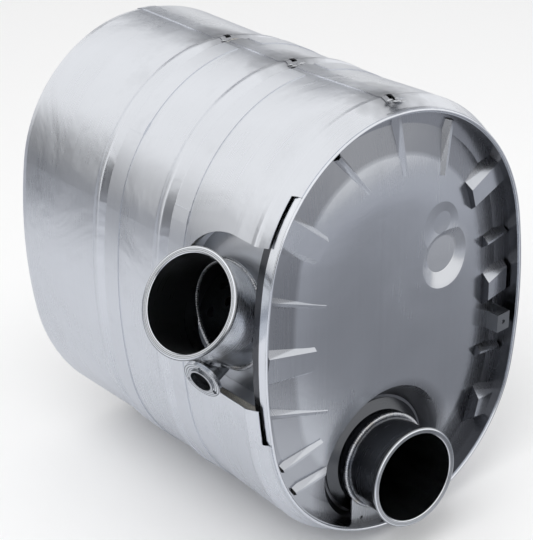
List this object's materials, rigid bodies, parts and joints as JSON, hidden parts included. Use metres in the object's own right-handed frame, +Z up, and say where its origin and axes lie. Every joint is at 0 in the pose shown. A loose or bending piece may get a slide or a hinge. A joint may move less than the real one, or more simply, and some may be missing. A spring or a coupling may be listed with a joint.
{
  "type": "scr muffler",
  "caption": "Round-sided stainless exhaust aftertreatment muffler with a pipe inlet, a pipe outlet, a fluid doser port and a catalyst inside.",
  "frame": {"origin": "on the body's long axis, halfway between its two lips, where the middle mounting strap closes round it", "axes": "+Z up as in the picture, -Y towards the end cap with the outlet, -X towards the side with the inlet"},
  "size_m": [0.5725, 0.5679, 0.6406],
  "materials": {
    "skin": "polished thin stainless sheet with fine lengthwise brushing",
    "cap": "pressed stainless sheet, satin",
    "pipe": "drawn stainless tube, satin",
    "flange": "turned stainless ring, bright edge",
    "weld": "rippled weld bead, dull",
    "inner_steel": "plain mill-finish stainless sheet",
    "blanket": "matted mineral fibre",
    "mat": "swelling fibre mat",
    "brick": "fine honeycomb ceramic, matt",
    "fastener": "plated hexagon nut, satin"
  },
  "bodies": {
    "root": {"bracket_nut": "fastener", "catalyst_can": "inner_steel", "doser_flange": "flange", "doser_pipe": "pipe", "doser_weld": "weld", "front_baffle": "inner_steel", "front_catalyst_brick": "brick", "front_end_cap": "cap", "front_joint_band": "skin", "front_rim": "skin", "front_support_mat": "mat", "inlet_flange": "flange", "inlet_pipe": "pipe", "inlet_weld": "weld", "inner_shell": "inner_steel", "insulation_blanket": "blanket", "mixing_tube": "inner_steel", "outer_skin_front": "skin", "outer_skin_middle": "skin", "outer_skin_rear": "skin", "outlet_collar": "pipe", "outlet_flange": "flange", "outlet_gusset": "cap", "outlet_pipe": "pipe", "outlet_tube": "inner_steel", "outlet_weld": "weld", "rear_baffle": "inner_steel", "rear_catalyst_brick": "brick", "rear_end_cap": "cap", "rear_joint_band": "skin", "rear_rim": "skin", "rear_support_mat": "mat", "side_bracket": "cap", "window_surround": "inner_steel"}
  },
  "joints": []
}
